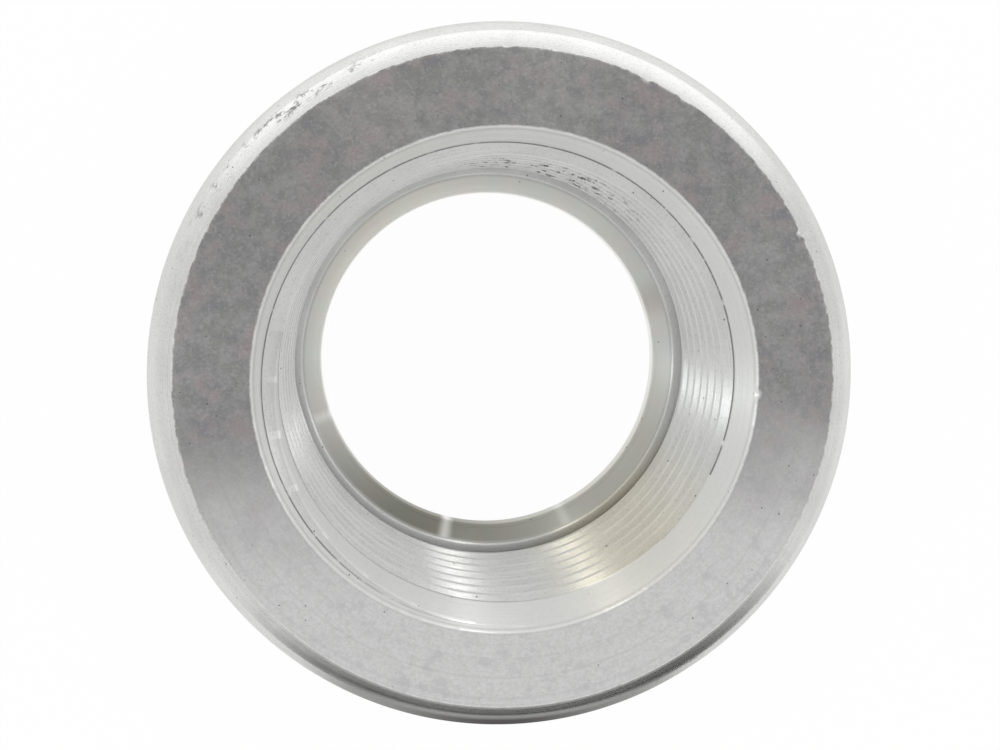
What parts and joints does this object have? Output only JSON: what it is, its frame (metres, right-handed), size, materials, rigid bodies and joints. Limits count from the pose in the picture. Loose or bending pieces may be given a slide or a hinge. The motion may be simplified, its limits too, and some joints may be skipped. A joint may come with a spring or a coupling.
{
  "type": "conduit reducing bushing",
  "caption": "Turned ring with a tapered pipe thread outside and a smaller one inside, stepping a conduit opening down to a smaller conduit; chamfered mouth, inner shoulder and plain throat.",
  "frame": {"origin": "centre of the small end face, which the part stands on", "axes": "+Z along the bore axis from the small end to the wide threaded mouth; +X and +Y lie in the small end face"},
  "size_m": [0.0488, 0.0488, 0.0215],
  "materials": {
    "machined_aluminium": "turned, satin, with small nicks and specks"
  },
  "bodies": {
    "root": {"reducing_bushing": "machined_aluminium"}
  },
  "joints": []
}
